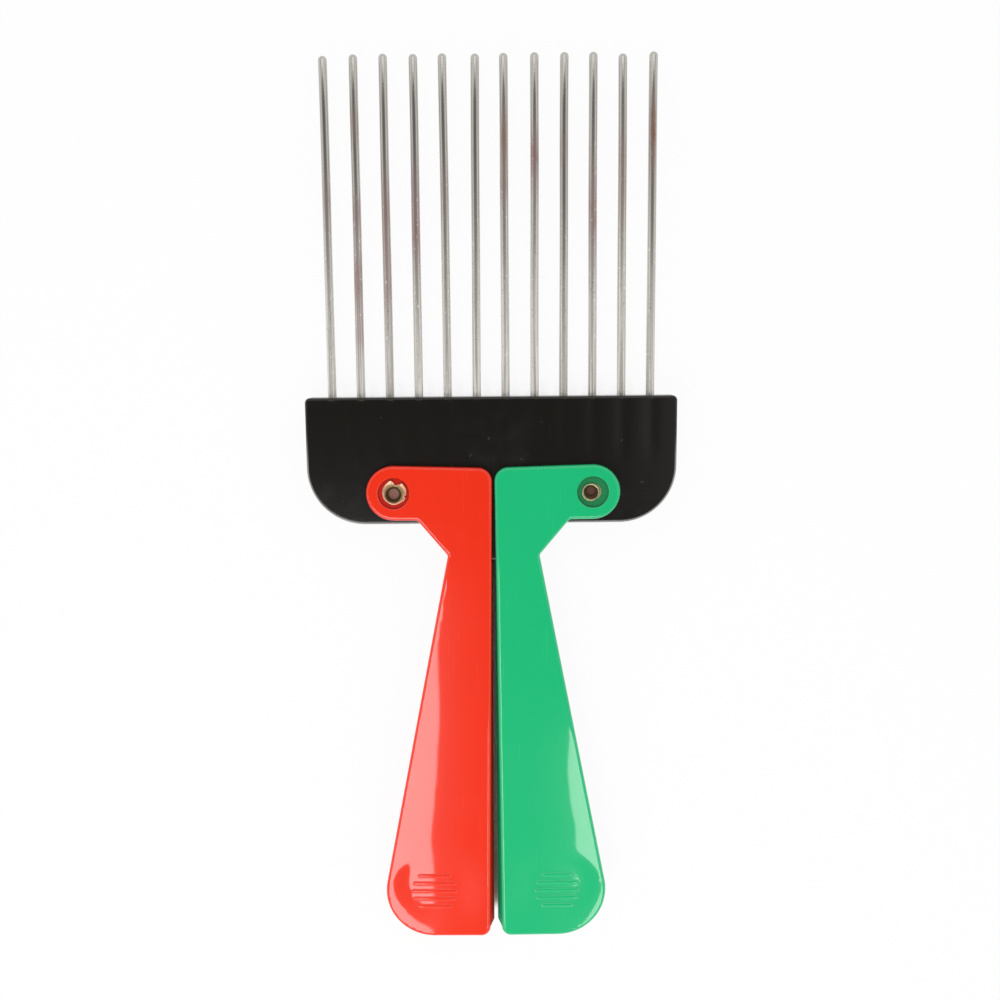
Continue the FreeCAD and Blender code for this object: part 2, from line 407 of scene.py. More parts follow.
@dataclass(frozen=True)
class GlossPlastic:
    """Glossy moulded plastic with a hazy body, faint flow clouds, hairline scratches, handling marks and
    painted shade on the floor of the rivet's recess.
    """

    name: str
    colour: Colour
    deep_colour: Colour
    worn_colour: Colour
    recess_shade_colour: Colour
    ior: float = 1.5
    haze_level: float = 0.15
    haze_roughness: float = 0.17
    gloss_roughness: float = 0.03
    wall_roughness: float = 0.5
    clouds: Mottle = Mottle((45.0, 18.0, 45.0), 3.0, (0.3, 0.7))
    cloud_share: float = 0.5
    specks: Mottle = Mottle(even(900.0), 1.0, (0.72, 0.8))
    speck_share: float = 0.08
    hairlines: tuple[Hairlines, ...] = (
        Hairlines(across=2600.0, along=70.0, turn=0.35, keep=0.68),
        Hairlines(across=2200.0, along=60.0, turn=-0.8, keep=0.7),
    )
    hairline_share: float = 0.03
    hairline_roughness: float = 0.1
    hairline_loss: float = 0.15
    hairline_depth: float = 0.1
    smears: Mottle = Mottle((120.0, 60.0, 120.0), 4.0, (0.5, 0.75), 0.6)
    smear_roughness: float = 0.06
    smear_loss: float = 0.06
    peel: Mottle = Mottle(even(420.0), 2.0)
    peel_height: float = 0.006 * MM
    peel_strength: float = 1.0

    def material(self) -> bpy.types.Material:
        """Make the material.

        Returns:
            The material.
        """
        material, graph = new_graph(self.name)
        hairlines = graph.scratches(self.hairlines)
        smears = graph.mottle(self.smears)
        wall = graph.attribute("wall")
        base = graph.mix(graph.mottle(self.clouds) * self.cloud_share, self.colour, self.deep_colour)
        marks = graph.mottle(self.specks) * self.speck_share + hairlines * self.hairline_share
        base = graph.mix(marks, base, self.worn_colour)
        # Painted shade: the floor of the rivet's recess is painted darker, partly standing for the black
        # base seen through the thin plate.
        base = graph.mix(graph.attribute("recess_shade"), base, self.recess_shade_colour)
        handled = self.haze_roughness + smears * self.smear_roughness + hairlines * self.hairline_roughness
        gloss = 1.0 - smears * self.smear_loss - hairlines * self.hairline_loss
        relief = graph.mottle(self.peel) - hairlines * self.hairline_depth
        graph.surface({
            "Base Color": base,
            "Roughness": handled + wall * self.wall_roughness,
            "IOR": self.ior,
            "Specular IOR Level": self.haze_level,
            "Coat Weight": gloss * (1.0 - wall),
            "Coat Roughness": self.gloss_roughness,
            "Coat IOR": self.ior,
            "Normal": graph.bump(relief, self.peel_height, self.peel_strength),
        })
        return material


@dataclass(frozen=True)
class BlackMoulding:
    """Black moulded plastic with a painted grey highlight along its rounded edges, which are also a little
    rougher, with smudges, scuffs and a little dust.
    """

    name: str = "black_moulding"
    colour: Colour = (0.0055, 0.0045, 0.0033)
    smudge_colour: Colour = (0.02, 0.02, 0.02)
    dust_colour: Colour = (0.16, 0.16, 0.155)
    edge_highlight_colour: Colour = (0.34, 0.335, 0.33)
    ior: float = 1.48
    level: float = 0.35
    roughness: float = 0.2
    smudges: Mottle = Mottle(even(60.0), 4.0, (0.55, 0.85), 0.6)
    smudge_share: float = 0.4
    smudge_roughness: float = 0.06
    dust: Mottle = Mottle(even(700.0), 0.0, (0.86, 0.9))
    dust_share: float = 0.12
    scuffs: tuple[Hairlines, ...] = (
        Hairlines(across=1500.0, along=90.0, turn=0.6, keep=0.72),
        Hairlines(across=1300.0, along=120.0, turn=-0.4, keep=0.73),
    )
    scuff_share: float = 0.02
    scuff_height: float = 0.6
    edge_sheen_and_wear_mottle: Mottle = Mottle(even(160.0), 3.0)
    edge_sheen_and_wear_least: float = 0.45
    edge_sheen_and_wear_gain: float = 0.8
    wear_roughness: float = 0.1
    grain: Mottle = Mottle(even(1800.0), 2.0)
    grain_height: float = 0.006 * MM
    grain_strength: float = 0.6

    def material(self) -> bpy.types.Material:
        """Make the material.

        Returns:
            The material.
        """
        material, graph = new_graph(self.name)
        smudges = graph.mottle(self.smudges)
        scuffs = graph.scratches(self.scuffs)
        # Painted highlight: the rounded edges are painted grey, patchily; the same mask makes them rougher.
        edge_sheen_and_wear = graph.attribute("rim") * (self.edge_sheen_and_wear_least + graph.mottle(self.edge_sheen_and_wear_mottle) * self.edge_sheen_and_wear_gain)
        base = graph.mix(smudges * self.smudge_share, self.colour, self.smudge_colour)
        marks = graph.mottle(self.dust) * self.dust_share + scuffs * self.scuff_share
        base = graph.mix(marks, base, self.dust_colour)
        base = graph.mix(edge_sheen_and_wear, base, self.edge_highlight_colour)
        relief = graph.mottle(self.grain) + scuffs * self.scuff_height
        graph.surface({
            "Base Color": base,
            "Roughness": self.roughness + smudges * self.smudge_roughness + edge_sheen_and_wear * self.wear_roughness,
            "IOR": self.ior,
            "Specular IOR Level": self.level,
            "Normal": graph.bump(relief, self.grain_height, self.grain_strength),
        })
        return material


@dataclass(frozen=True)
class PlatedWire:
    """Nickel plating on drawn wire, heat tinted and rusty in places, dull towards the roots, with painted
    shade along the middle of its crest and small painted glints.
    """

    name: str = "plated_wire"
    bright_colour: Colour = (0.51, 0.49, 0.46)
    dull_colour: Colour = (0.8, 0.775, 0.72)
    streak_colour: Colour = (0.33, 0.315, 0.285)
    crest_shade_colour: Colour = (0.33, 0.31, 0.285)
    tint_colour: Colour = (0.29, 0.155, 0.155)
    rust_colour: Colour = (0.21, 0.075, 0.03)
    glint_colour: Colour = (0.8, 0.79, 0.76)
    pit_colour: Colour = (0.2, 0.17, 0.15)
    roughness: float = 0.08
    patches: Mottle = Mottle((300.0, 120.0, 300.0), 4.0, (0.35, 0.7), 0.65)
    dull_least: float = 0.8
    dull_roughness: float = 0.35
    dull_metal: float = 0.35
    streaks: Mottle = Mottle((2200.0, 25.0, 2200.0), 1.0, (0.42, 0.58))
    streak_share: float = 0.85
    crest_shade_least: float = 0.6
    tint_least: float = 0.5
    tint_cover: float = 0.6
    tint_roughness: float = 0.04
    rust_least: float = 0.6
    rust_cover: float = 0.85
    rust_roughness: float = 0.06
    halfway_gain: float = 4.0
    pits: Mottle = Mottle((2600.0, 1500.0, 2600.0), 2.0, (0.62, 0.72))
    pit_share: float = 0.45
    pit_height: float = 1.5
    glints_and_dents: Mottle = Mottle((1300.0, 700.0, 1300.0), 1.0, (0.68, 0.75))
    glint_share: float = 0.8
    drawn: Mottle = Mottle((6000.0, 90.0, 6000.0), 2.0)
    drawn_height: float = 0.004 * MM
    drawn_strength: float = 0.7

    def material(self) -> bpy.types.Material:
        """Make the material.

        Returns:
            The material.
        """
        material, graph = new_graph(self.name)
        patches = graph.mottle(self.patches)
        dull = graph.attribute("dull") * (self.dull_least + patches * (1.0 - self.dull_least))
        painted_crest_shade = graph.attribute("painted_crest_shade") * (self.crest_shade_least + patches * (1.0 - self.crest_shade_least))
        tint = graph.attribute("tint") * (self.tint_least + patches * (1.0 - self.tint_least))
        rust = graph.attribute("rust") * (self.rust_least + patches * (1.0 - self.rust_least))
        halfway = dull * (1.0 - dull) * self.halfway_gain
        pits = graph.mottle(self.pits) * halfway
        glints_and_dents = graph.mottle(self.glints_and_dents) * halfway
        base = graph.mix(dull, self.bright_colour, self.dull_colour)
        base = graph.mix(dull * graph.mottle(self.streaks) * self.streak_share, base, self.streak_colour)
        # Painted shade: a darker band down the middle of the front and back crest.
        base = graph.mix(painted_crest_shade, base, self.crest_shade_colour)
        base = graph.mix(tint, base, self.tint_colour)
        base = graph.mix(rust, base, self.rust_colour)
        base = graph.mix(pits * self.pit_share, base, self.pit_colour)
        # Painted highlight: small pale glints where the wire turns dull; the same noise also dents the
        # surface.
        base = graph.mix(glints_and_dents * self.glint_share, base, self.glint_colour)
        bare = (1.0 - tint * self.tint_cover) * (1.0 - rust * self.rust_cover)
        stained = tint * self.tint_roughness + rust * self.rust_roughness
        relief = graph.mottle(self.drawn) + pits * self.pit_height - glints_and_dents
        graph.surface({
            "Base Color": base,
            "Metallic": (1.0 - dull * (1.0 - self.dull_metal)) * bare,
            "Roughness": self.roughness + dull * self.dull_roughness + stained,
            "Normal": graph.bump(relief, self.drawn_height, self.drawn_strength),
        })
        return material


@dataclass(frozen=True)
class TarnishedBrass:
    """Rolled brass, bright along its rim, with painted shade darkening the inside of the flare and the
    bore, and the bore's floor painted a lighter brown as lit.
    """

    name: str
    bright_colour: Colour
    patina_colour: Colour
    flare_shade_colour: Colour
    bore_shade_colour: Colour = (0.07, 0.03, 0.008)
    # Colour of the painted lit floor of the bore.
    floor_colour: Colour = (0.27, 0.125, 0.09)
    roughness: float = 0.3
    patina: Mottle = Mottle(even(700.0), 4.0, (0.4, 0.72), 0.65)
    patina_share: float = 0.6
    patina_roughness: float = 0.15
    flare_band: Pair = (0.05, 0.4)
    bore_band: Pair = (0.4, 0.7)
    bore_roughness: float = 0.2
    bore_matte_band: Pair = (0.2, 0.6)
    bore_matte_cover: float = 0.7
    dents: Mottle = Mottle(even(1600.0), 3.0)
    dent_height: float = 0.03 * MM
    dent_strength: float = 0.5

    def material(self) -> bpy.types.Material:
        """Make the material.

        Returns:
            The material.
        """
        material, graph = new_graph(self.name)
        patina = graph.mottle(self.patina)
        depth = graph.attribute("depth")
        base = graph.mix(patina * self.patina_share, self.bright_colour, self.patina_colour)
        # Painted shade: darker inside the flare and near black down the bore, where the metal also fades.
        base = graph.mix(depth.step(*self.flare_band), base, self.flare_shade_colour)
        base = graph.mix(depth.step(*self.bore_band), base, self.bore_shade_colour)
        # Painted light: the bore's floor is painted a lighter brown, as far as light reaches it.
        base = graph.mix(graph.attribute("floor"), base, self.floor_colour)
        graph.surface({
            "Base Color": base,
            "Metallic": 1.0 - depth.step(*self.bore_matte_band) * self.bore_matte_cover,
            "Roughness": self.roughness + patina * self.patina_roughness + depth * self.bore_roughness,
            "Normal": graph.bump(graph.mottle(self.dents), self.dent_height, self.dent_strength),
        })
        return material


# Pieces of the pick

def as_object(name: str, mesh: bmesh.types.BMesh) -> bpy.types.Object:
    """Turn built geometry into a smooth-shaded object of the scene.

    Args:
        name: the object's name
        mesh: the geometry, which is freed

    Returns:
        The object.
    """
    bmesh.ops.recalc_face_normals(mesh, faces=mesh.faces)
    for edge in mesh.edges:
        edge.smooth = edge.calc_face_angle(0.0) < SHARP_ANGLE
    for face in mesh.faces:
        face.smooth = True
    data = bpy.data.meshes.new(name)
    mesh.to_mesh(data)
    mesh.free()
    if "custom_normal" in data.attributes:
        data.attributes.remove(data.attributes["custom_normal"])
    piece = bpy.data.objects.new(name, data)
    bpy.context.scene.collection.objects.link(piece)
    shading = piece.modifiers.new("even_shading", "WEIGHTED_NORMAL")
    shading.keep_sharp = True
    return piece


def gridded_copy(node: str, cells: Pair) -> bmesh.types.BMesh:
    """Copy a CAD node's surface and cut its large flats into a grid that can be shaped.

    Args:
        node: the node's name
        cells: size of a grid cell along X and Y

    Returns:
        The copied geometry.
    """
    mesh = bmesh.new()
    mesh.from_mesh(frame["nodes"][node].data)
    bmesh.ops.remove_doubles(mesh, verts=mesh.verts, dist=WELD_DISTANCE)
    bmesh.ops.dissolve_limit(mesh, angle_limit=FLAT_ANGLE, verts=mesh.verts, edges=mesh.edges)
    low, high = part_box(node)
    for axis, cell in enumerate(cells):
        count = math.ceil((high[axis] - low[axis]) / cell)
        normal = [0.0, 0.0, 0.0]
        normal[axis] = 1.0
        for step in range(1, count):
            point = list(low)
            point[axis] += (high[axis] - low[axis]) * step / count
            parts = [*mesh.verts, *mesh.edges, *mesh.faces]
            bmesh.ops.bisect_plane(mesh, geom=parts, dist=WELD_DISTANCE, plane_co=point, plane_no=normal)
    return mesh


def store(piece: bpy.types.Object, name: str, values: list[float]) -> None:
    """Store a value at every point of a piece for its material to read.

    Args:
        piece: the piece
        name: name of the value
        values: the value at each point, in the points' order
    """
    layer = piece.data.attributes.new(name, "FLOAT", "POINT")
    layer.data.foreach_set("value", values)


def finish_piece(piece: bpy.types.Object, body: str, material: bpy.types.Material,
                 node: str) -> None:
    """Hang a piece on its body in place of a CAD node, with its material.

    Args:
        piece: the piece
        body: name of the body that it moves with
        material: what it is dressed in
        node: CAD node that it stands for
    """
    piece.data.materials.clear()
    piece.data.materials.append(material)
    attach(piece, body)
    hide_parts(node)
    LOG.info("%s: %d faces on %s", piece.name, len(piece.data.polygons), body)


@dataclass
class Handle:
    """One channel handle, with the twist and the dished thumb grip of a real moulding."""

    side: Side
    node: str
    body: str
    slot: str
    finish: GlossPlastic
    twist: Stops
    grip: Pair
    dish_fades: Stops
    cell: float = 1.0 * MM
    rib_height: float = 0.3 * MM
    dish_depth: float = 0.18 * MM
    dish_flats: Stops = ((-5.0 * MM, 3.0 * MM), (0.0, 5.4 * MM), (4.0 * MM, 6.8 * MM))
    dish_rim: float = 11.4 * MM
    dish_run: Pair = (5.4 * MM, 15.4 * MM)
    dish_top: float = 12.5 * MM
    wall_reach: float = 3.0 * MM
    wall_facing: Pair = (0.75, 0.95)
    skin: float = 1.0 * MM
    recess_radius: float = 3.8 * MM
    recess_depth: float = 0.9 * MM
    touch: float = 0.12 * MM

    def build(self) -> bpy.types.Object:
        """Build the handle from its CAD surface.

        Returns:
            The handle.
        """
        mesh = gridded_copy(self.node, (self.cell, self.cell))
        low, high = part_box(self.node)
        face = high.z - self.rib_height
        inner = high.x if self.side is Side.LEFT else low.x
        for vertex in mesh.verts:
            front = vertex.co.z > face / 2
            rise = -abs(vertex.co.x - inner) * blended(self.twist, vertex.co.y)
            if vertex.co.z > face - self.skin:
                rise -= self.dish(vertex.co)
            vertex.co.z = max(vertex.co.z + (rise if front else -rise), 0.0)
        piece = as_object(f"{self.node}_moulding", mesh)
        floor = face - self.recess_depth
        pivot = self.pivot()
        # Mark the floor of the rivet's recess for its painted shade.
        store(piece, "recess_shade", [self.recess_shading(vertex.co, pivot, floor) for vertex in piece.data.vertices])
        store(piece, "wall", [self.walling(vertex, inner) for vertex in piece.data.vertices])
        return piece

    def pivot(self) -> Vector:
        """The point that the handle turns about."""
        joint = next(one for one in frame["joints"] if one["child"] == self.body)
        return Vector(joint["pos_m"])

    def dish(self, point: Vector) -> float:
        """Depth of the shallow dish round the thumb grip, steep outwards and running out slowly inwards.

        Args:
            point: a point of the front plate

        Returns:
            The depth.
        """
        out = self.side.value * (point.x - self.grip[0])
        up = point.y - self.grip[1]
        flat = blended(self.dish_flats, up)
        rim = 1.0 - smooth_step(math.hypot(max(out, 0.0), up), flat, self.dish_rim)
        run = 1.0 - smooth_step(-out, *self.dish_run)
        top = 1.0 - smooth_step(up, blended(self.dish_fades, out), self.dish_top)
        return self.dish_depth * rim * run * top

    def walling(self, vertex: bpy.types.MeshVertex, inner: float) -> float:
        """Tell the dull wall beside the other handle from the glossy plates.

        Args:
            vertex: a vertex of the handle
            inner: place of the handle's inner side across the pick

        Returns:
            1 on the wall and 0 elsewhere.
        """
        if abs(vertex.co.x - inner) > self.wall_reach:
            return 0.0
        return smooth_step(-self.side.value * vertex.normal.x, *self.wall_facing)

    def recess_shading(self, point: Vector, pivot: Vector, floor: float) -> float:
        """Tell the floor of the rivet's recess, which is painted darker as shade and where the thin plate
        also lets the black base show through, from the rest.

        Args:
            point: a point of the handle
            pivot: the point that the handle turns about
            floor: height of the recess's floor

        Returns:
            1 on the floor and 0 elsewhere.
        """
        away = math.hypot(point.x - pivot.x, point.y - pivot.y)
        return float(away < self.recess_radius and abs(point.z - floor) < self.touch)

    def dress(self, piece: bpy.types.Object) -> None:
        """Hang the handle on its body in its plastic."""
        finish_piece(piece, self.body, self.finish.material(), self.node)


@dataclass
class TineRow:
    """The row of wire tines, each drawn a little uneven and stained in its own places."""

    body: str = "comb"
    slot: str = "plated_steel"
    finish: PlatedWire = PlatedWire()
    sides: int = 40
    ring_step: float = 1.5 * MM
    dome_rings: int = 8
    end_slack: float = 0.05 * MM
    wobble: float = 0.04 * MM
    wobble_length: float = 55 * MM
    wobble_phase: float = 1.9
    dull_from: float = 0.88
    dull_to: float = 0.04
    dull_lateness: tuple[float, ...] = (
        0.0, -0.03, 0.03, 0.02, 0.0, 0.02, -0.02, -0.06, 0.06, -0.04, -0.07, 0.03,
    )
    tints: tuple[Spot, ...] = (
        Spot(1, 0.65, 0.06, 0.5), Spot(2, 0.83, 0.04, 0.6), Spot(2, 0.61, 0.05, 0.7),
        Spot(2, 0.44, 0.08, 1.0), Spot(2, 0.31, 0.04, 0.5), Spot(3, 0.63, 0.08, 0.9),
        Spot(3, 0.44, 0.1, 0.75), Spot(4, 0.59, 0.12, 1.0), Spot(5, 0.66, 0.06, 0.4),
        Spot(7, 0.68, 0.04, 0.6), Spot(8, 0.74, 0.07, 1.0), Spot(9, 0.77, 0.04, 0.5),
        Spot(10, 0.6, 0.12, 0.85), Spot(11, 0.7, 0.13, 0.65),
    )
    tint_least: float = 0.4
    rusts: tuple[Spot, ...] = (Spot(7, 0.79, 0.07, 0.9), Spot(12, 0.8, 0.09, 1.0))
    rust_facing: Pair = (0.55, 0.95)
    painted_crest_shade: tuple[float, ...] = (0.3, 0.35, 0.2, 0.4, 0.2, 0.35, 0.1, 0.1, 0.5, 0.05, 0.0, 0.35)
    crest_shade_from: Pair = (0.4, 0.7)
    crest_shade_to: Pair = (0.86, 0.96)
    crest_shade_facing: Pair = (0.35, 0.75)

    def nodes(self) -> list[str]:
        """Names of the tines' CAD nodes, from left to right."""
        return sorted(name for name in frame["nodes"] if name.startswith("tine_"))

    def axis(self, node: str) -> tuple[Vector, Vector, float]:
        """Root end, tip and radius of a tine, read from its CAD surface.

        Args:
            node: the tine's CAD node

        Returns:
            The root end, the tip and the radius.
        """
        points = [vertex.co for vertex in frame["nodes"][node].data.vertices]
        low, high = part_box(node)
        ends = [point for point in points if point.y < low.y + self.end_slack]
        root = sum(ends, Vector()) / len(ends)
        tip = max(points, key=lambda point: point.y).copy()
        return root, tip, (high.z - low.z) / 2

    def build(self) -> dict[str, bpy.types.Object]:
        """Build every tine, by the name of its CAD node."""
        return {node: self.tine(node, index) for index, node in enumerate(self.nodes())}

    def tine(self, node: str, index: int) -> bpy.types.Object:
        """Build one tine as a round wire with a domed tip.

        Args:
            node: the tine's CAD node
            index: its place in the row, from the left

        Returns:
            The tine.
        """
        root, tip, radius = self.axis(node)
        length = (tip - root).length
        heading = (tip - root).normalized()
        across = heading.cross(Vector((0.0, 0.0, 1.0))).normalized()
        up = across.cross(heading)
        mesh = bmesh.new()
        rings = []
        for height, ring_radius in self.stations(length, radius):
            turn = FULL_TURN * height / self.wobble_length + self.wobble_phase * index
            sway = self.wobble * height / length * math.sin(turn)
            centre = root + heading * height + across * sway
            ring = []
            for side in range(self.sides):
                angle = FULL_TURN * side / self.sides
                spoke = across * math.cos(angle) + up * math.sin(angle)
                ring.append(mesh.verts.new(centre + spoke * ring_radius))
            rings.append(ring)
        for here, there in zip(rings, rings[1:]):
            for side in range(self.sides):
                beside = (side + 1) % self.sides
                mesh.faces.new((here[side], here[beside], there[beside], there[side]))
        mesh.faces.new(list(reversed(rings[0])))
        crest = mesh.verts.new(tip)
        for side in range(self.sides):
            mesh.faces.new((rings[-1][side], rings[-1][(side + 1) % self.sides], crest))
        piece = as_object(f"{node}_wire", mesh)
        self.mark_wear_and_shade(piece, index, root, tip)
        return piece

    def stations(self, length: float, radius: float) -> list[Pair]:
        """Heights and radii of the rings that a tine is built from.

        Args:
            length: length of the tine
            radius: radius of its wire

        Returns:
            The height and the radius of each ring, from the root up into the dome.
        """
        straight = length - radius
        count = math.ceil(straight / self.ring_step)
        stations = [(straight * step / count, radius) for step in range(count + 1)]
        for step in range(1, self.dome_rings):
            angle = math.pi / 2 * step / self.dome_rings
            stations.append((straight + radius * math.sin(angle), radius * math.cos(angle)))
        return stations

    def mark_wear_and_shade(self, piece: bpy.types.Object, index: int, root: Vector, tip: Vector) -> None:
        """Store how dull, tinted and rusty each point of a tine is, and how much painted shade its crest
        takes.

        Args:
            piece: the tine
            index: its place in the row
            root: its root end
            tip: its tip
        """
        places = [vertex.co for vertex in piece.data.vertices]
        radius = max(place.z - root.z for place in places)
        shares = [(place.y - root.y) / (tip.y - root.y) for place in places]
        fronts = [abs(place.z - root.z) / radius for place in places]
        points = list(zip(shares, fronts))
        late = self.dull_lateness[index]
        store(piece, "dull", [1.0 - smooth_step(share + late, self.dull_to, self.dull_from)
                              for share in shares])
        store(piece, "tint", [self.spots(self.tints, index, share) * between(self.tint_least, 1.0, front)
                              for share, front in points])
        store(piece, "rust", [self.spots(self.rusts, index, share) * smooth_step(front, *self.rust_facing)
                              for share, front in points])
        store(piece, "painted_crest_shade", [self.crest_shading(index, share, front) for share, front in points])

    @staticmethod
    def spots(table: tuple[Spot, ...], index: int, share: float) -> float:
        """Add up the discoloured spots of one tine.

        Args:
            table: the spots of all tines
            index: the tine's place in the row
            share: height along the tine

        Returns:
            The strength at that height.
        """
        here = [spot for spot in table if spot.tine == index + 1]
        levels = [spot.strength * math.exp(-(((share - spot.centre) / spot.spread) ** 2)) for spot in here]
        return min(1.0, sum(levels))

    def crest_shading(self, index: int, share: float, front: float) -> float:
        """How strongly the middle of the front and of the back is painted darker, as shade along the crest.

        Args:
            index: the tine's place in the row
            share: height along the tine
            front: how much the point faces the front or the back

        Returns:
            The strength of the painted shade.
        """
        along = smooth_step(share, *self.crest_shade_from) * (1.0 - smooth_step(share, *self.crest_shade_to))
        return self.painted_crest_shade[index] * along * smooth_step(front, *self.crest_shade_facing)

    def dress(self, tines: dict[str, bpy.types.Object]) -> None:
        """Hang the tines on the comb in one plating.

        Args:
            tines: the tines by the names of their CAD nodes
        """
        material = self.finish.material()
        for node, piece in tines.items():
            finish_piece(piece, self.body, material, node)


@dataclass
class CombBase:
    """The black bar, with the shallow sinks that the moulding leaves over the tine roots."""

    node: str = "comb_base"
    body: str = "comb"
    slot: str = "black_plastic"
    finish: BlackMoulding = BlackMoulding()
    cells: Pair = (0.7 * MM, 1.6 * MM)
    edge_radius: float = 0.7 * MM
    edge_on_face: float = 0.12
    edge_on_wall: Pair = (0.5, 0.9)
    face_slack: float = 0.001 * MM
    sink_depth: float = 0.07 * MM
    sink_half_width: float = 1.5 * MM
    sink_fade: float = 4.0 * MM
    rim_drop: Pair = (8.0 * MM, 18.0 * MM)
    rim_least: float = 0.05

    def build(self, row: TineRow) -> bpy.types.Object:
        """Build the bar from its CAD surface.

        Args:
            row: the tines that stand in it

        Returns:
            The bar.
        """
        mesh = gridded_copy(self.node, self.cells)
        low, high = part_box(self.node)
        middle = (low.z + high.z) / 2
        half = (high.z - low.z) / 2
        roots = [row.axis(node)[0] for node in row.nodes()]
        edges = [self.rim(abs(vertex.co.z - middle), half) for vertex in mesh.verts]
        for vertex in mesh.verts:
            height = vertex.co.z - middle
            if abs(height) > half - self.face_slack:
                vertex.co.z -= math.copysign(self.sink(vertex.co, roots), height)
        piece = as_object("comb_base_moulding", mesh)
        # The rim value places the painted edge highlight: full low on the bar, faint near its top.
        drops = [high.y - vertex.co.y for vertex in piece.data.vertices]
        edge_sheen_and_wear = [between(self.rim_least, 1.0, smooth_step(drop, *self.rim_drop)) for drop in drops]
        store(piece, "rim", [edge * share for edge, share in zip(edges, edge_sheen_and_wear)])
        return piece

    def rim(self, height: float, half: float) -> float:
        """How much a point lies on the rounded edge of a face.

        Args:
            height: distance from the bar's middle plane
            half: half of the bar's thickness

        Returns:
            1 on the edge and 0 on the face and the wall.
        """
        fall = (half - height) / self.edge_radius
        on_wall = smooth_step(fall, *self.edge_on_wall)
        on_face = 1.0 - smooth_step(fall, 0.0, self.edge_on_face)
        return max(0.0, 1.0 - on_wall - on_face)

    def sink(self, point: Vector, roots: list[Vector]) -> float:
        """Depth of the moulding's sinks at a point of the bar's faces.

        Args:
            point: the point
            roots: root ends of the tines

        Returns:
            The depth.
        """
        nearest = min(roots, key=lambda root: abs(root.x - point.x))
        across = (point.x - nearest.x) / self.sink_half_width
        fade = smooth_step(point.y, nearest.y - self.sink_fade, nearest.y + self.sink_fade)
        return self.sink_depth * math.exp(-across * across) * fade

    def dress(self, piece: bpy.types.Object) -> None:
        """Hang the bar on its body in black plastic."""
        finish_piece(piece, self.body, self.finish.material(), self.node)


